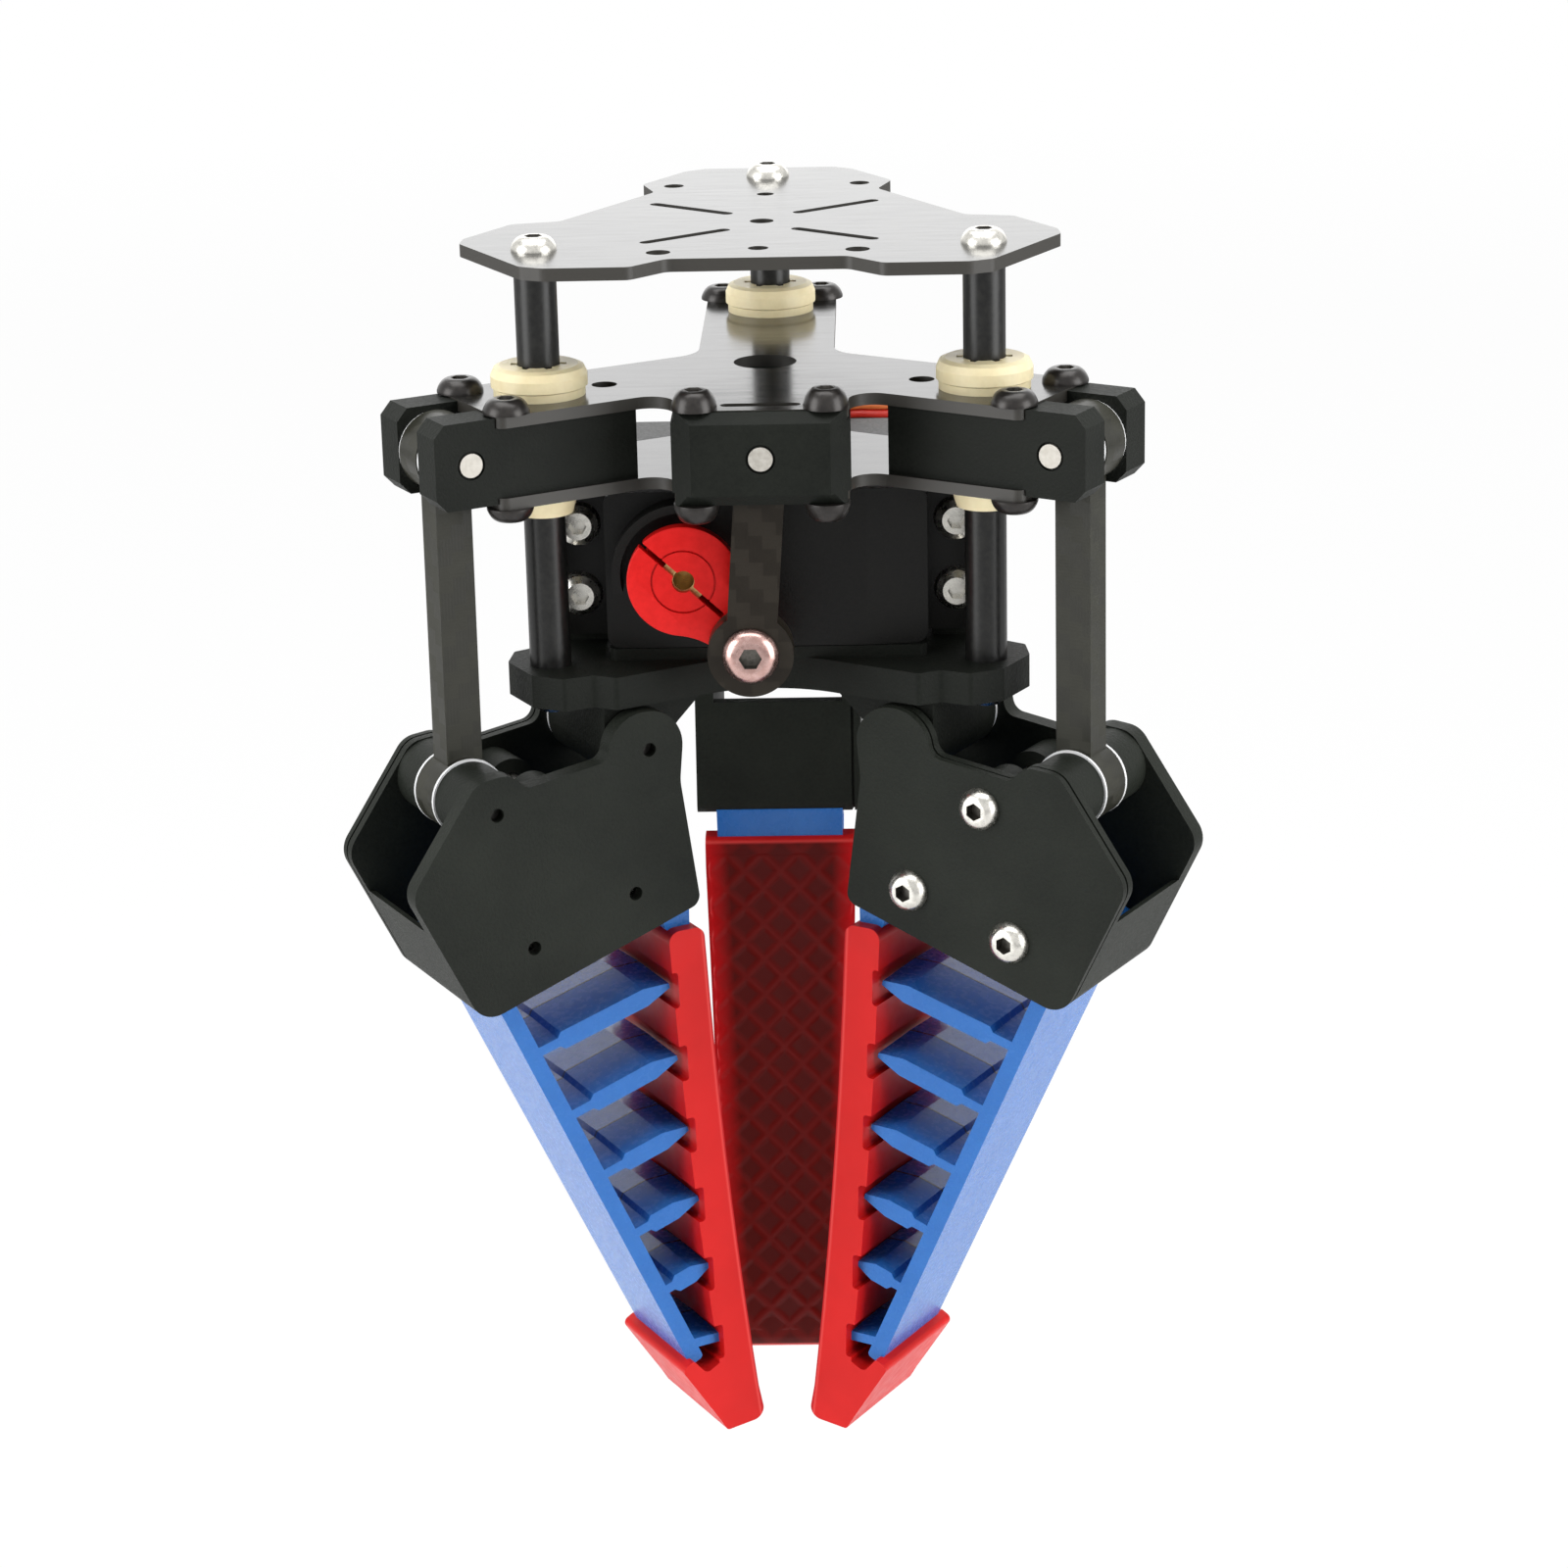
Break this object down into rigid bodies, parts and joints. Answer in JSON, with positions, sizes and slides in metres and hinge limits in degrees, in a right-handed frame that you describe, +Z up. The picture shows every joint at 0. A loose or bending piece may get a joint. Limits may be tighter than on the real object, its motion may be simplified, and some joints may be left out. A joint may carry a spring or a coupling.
{
  "type": "robot claw gripper",
  "caption": "Three-finger robot gripper: a servo crank lifts a carriage on guide columns, and links swing levers with soft finned fingers open.",
  "frame": {"origin": "centre hole of the top plate, on its upper face", "axes": "+Z up, away from the fingers; -Y towards the servo horn; the fingers point to -Z"},
  "size_m": [0.1094, 0.0947, 0.1632],
  "materials": {
    "gloss_plate": "gloss",
    "black_nylon": "grainy satin",
    "servo_case": "satin",
    "black_aluminium": "anodised satin",
    "silver_steel": "polished",
    "black_steel": "black oxide",
    "cream_plastic": "satin",
    "carbon_twill": "woven satin",
    "red_aluminium": "anodised",
    "shaft_brass": "satin",
    "pad_red": "satin",
    "core_blue": "satin",
    "white_plastic": "satin",
    "board_green": "solder mask",
    "lead_orange": "satin"
  },
  "bodies": {
    "frame": {"top_plate": "gloss_plate", "bottom_plate": "black_nylon", "column_left": "black_aluminium", "column_right": "black_aluminium", "column_back": "black_aluminium", "top_screws": "silver_steel", "bottom_screws": "silver_steel", "servo_gearbox_cover": "servo_case", "servo_mid_case": "servo_case", "servo_base_cover": "servo_case", "servo_mount_screws": "silver_steel", "servo_case_screws": "silver_steel", "servo_motor": "silver_steel", "servo_board": "board_green", "servo_lead_grommet": "servo_case", "servo_lead": "lead_orange", "servo_lead_hank": "lead_orange", "servo_plug": "servo_case"},
    "carriage": {"carriage_upper_plate": "gloss_plate", "carriage_lower_plate": "gloss_plate", "clevis_block_left": "black_nylon", "clevis_block_right": "black_nylon", "clevis_block_back": "black_nylon", "drive_clevis_block": "black_nylon", "drive_pin": "silver_steel", "bush_left": "cream_plastic", "bush_right": "cream_plastic", "bush_back": "cream_plastic", "carriage_upper_screws": "black_steel", "carriage_lower_screws": "black_steel", "clevis_pins": "silver_steel", "clevis_washers": "white_plastic"},
    "horn": {"servo_horn": "red_aluminium", "output_shaft": "shaft_brass", "crank_screw": "silver_steel"},
    "drive_link": {"drive_link": "carbon_twill"},
    "finger_left": {"lever_body_left": "black_nylon", "lever_cover_left": "black_nylon", "finger_pins_left": "silver_steel", "lever_washers_left": "white_plastic", "lever_screws_left": "silver_steel", "finger_core_left": "core_blue", "finger_pad_left": "pad_red"},
    "link_left": {"finger_link_left": "black_nylon"},
    "finger_right": {"lever_body_right": "black_nylon", "lever_cover_right": "black_nylon", "finger_pins_right": "silver_steel", "lever_washers_right": "white_plastic", "lever_screws_right": "silver_steel", "finger_core_right": "core_blue", "finger_pad_right": "pad_red"},
    "link_right": {"finger_link_right": "black_nylon"},
    "finger_back": {"lever_body_back": "black_nylon", "lever_cover_back": "black_nylon", "finger_pins_back": "silver_steel", "lever_washers_back": "white_plastic", "lever_screws_back": "silver_steel", "finger_core_back": "core_blue", "finger_pad_back": "pad_red"},
    "link_back": {"finger_link_back": "black_nylon"}
  },
  "joints": [
    {"name": "carriage_slide", "type": "slide", "parent": "frame", "child": "carriage", "axis": [0, 0, 1], "range_m": [0, 0.008]},
    {"name": "horn_turn", "type": "hinge", "parent": "frame", "child": "horn", "pos_m": [-0.01015, -0.0186, -0.0408], "axis": [0, -1, 0], "range_deg": [0, 43.8]},
    {"name": "drive_link_swing", "type": "hinge", "parent": "carriage", "child": "drive_link", "pos_m": [0, -0.0237, -0.02364], "axis": [0, -1, 0], "range_deg": [0, 9.4]},
    {"name": "finger_left_swing", "type": "hinge", "parent": "frame", "child": "finger_left", "pos_m": [-0.02061, -0.0119, -0.0626], "axis": [-0.5, 0.866, 0], "range_deg": [0, 21.2]},
    {"name": "link_left_swing", "type": "hinge", "parent": "finger_left", "child": "link_left", "pos_m": [-0.03906, -0.02255, -0.0674], "axis": [-0.5, 0.866, 0], "range_deg": [-20.5, 0]},
    {"name": "finger_right_swing", "type": "hinge", "parent": "frame", "child": "finger_right", "pos_m": [0.02061, -0.0119, -0.0626], "axis": [-0.5, -0.866, 0], "range_deg": [0, 21.2]},
    {"name": "link_right_swing", "type": "hinge", "parent": "finger_right", "child": "link_right", "pos_m": [0.03906, -0.02255, -0.0674], "axis": [-0.5, -0.866, 0], "range_deg": [-20.5, 0]},
    {"name": "finger_back_swing", "type": "hinge", "parent": "frame", "child": "finger_back", "pos_m": [0, 0.0238, -0.0626], "axis": [1, 0, 0], "range_deg": [0, 21.2]},
    {"name": "link_back_swing", "type": "hinge", "parent": "finger_back", "child": "link_back", "pos_m": [0, 0.0451, -0.0674], "axis": [1, 0, 0], "range_deg": [-20.5, 0]}
  ],
  "couplings": [
    {"joint": "horn_turn", "follows": "carriage_slide", "rad_per_m": 95.288},
    {"joint": "drive_link_swing", "follows": "carriage_slide", "rad_per_m": 20.226},
    {"joint": "finger_left_swing", "follows": "carriage_slide", "rad_per_m": 45.974},
    {"joint": "link_left_swing", "follows": "carriage_slide", "rad_per_m": -44.392},
    {"joint": "finger_right_swing", "follows": "carriage_slide", "rad_per_m": 45.974},
    {"joint": "link_right_swing", "follows": "carriage_slide", "rad_per_m": -44.392},
    {"joint": "finger_back_swing", "follows": "carriage_slide", "rad_per_m": 45.974},
    {"joint": "link_back_swing", "follows": "carriage_slide", "rad_per_m": -44.392}
  ]
}
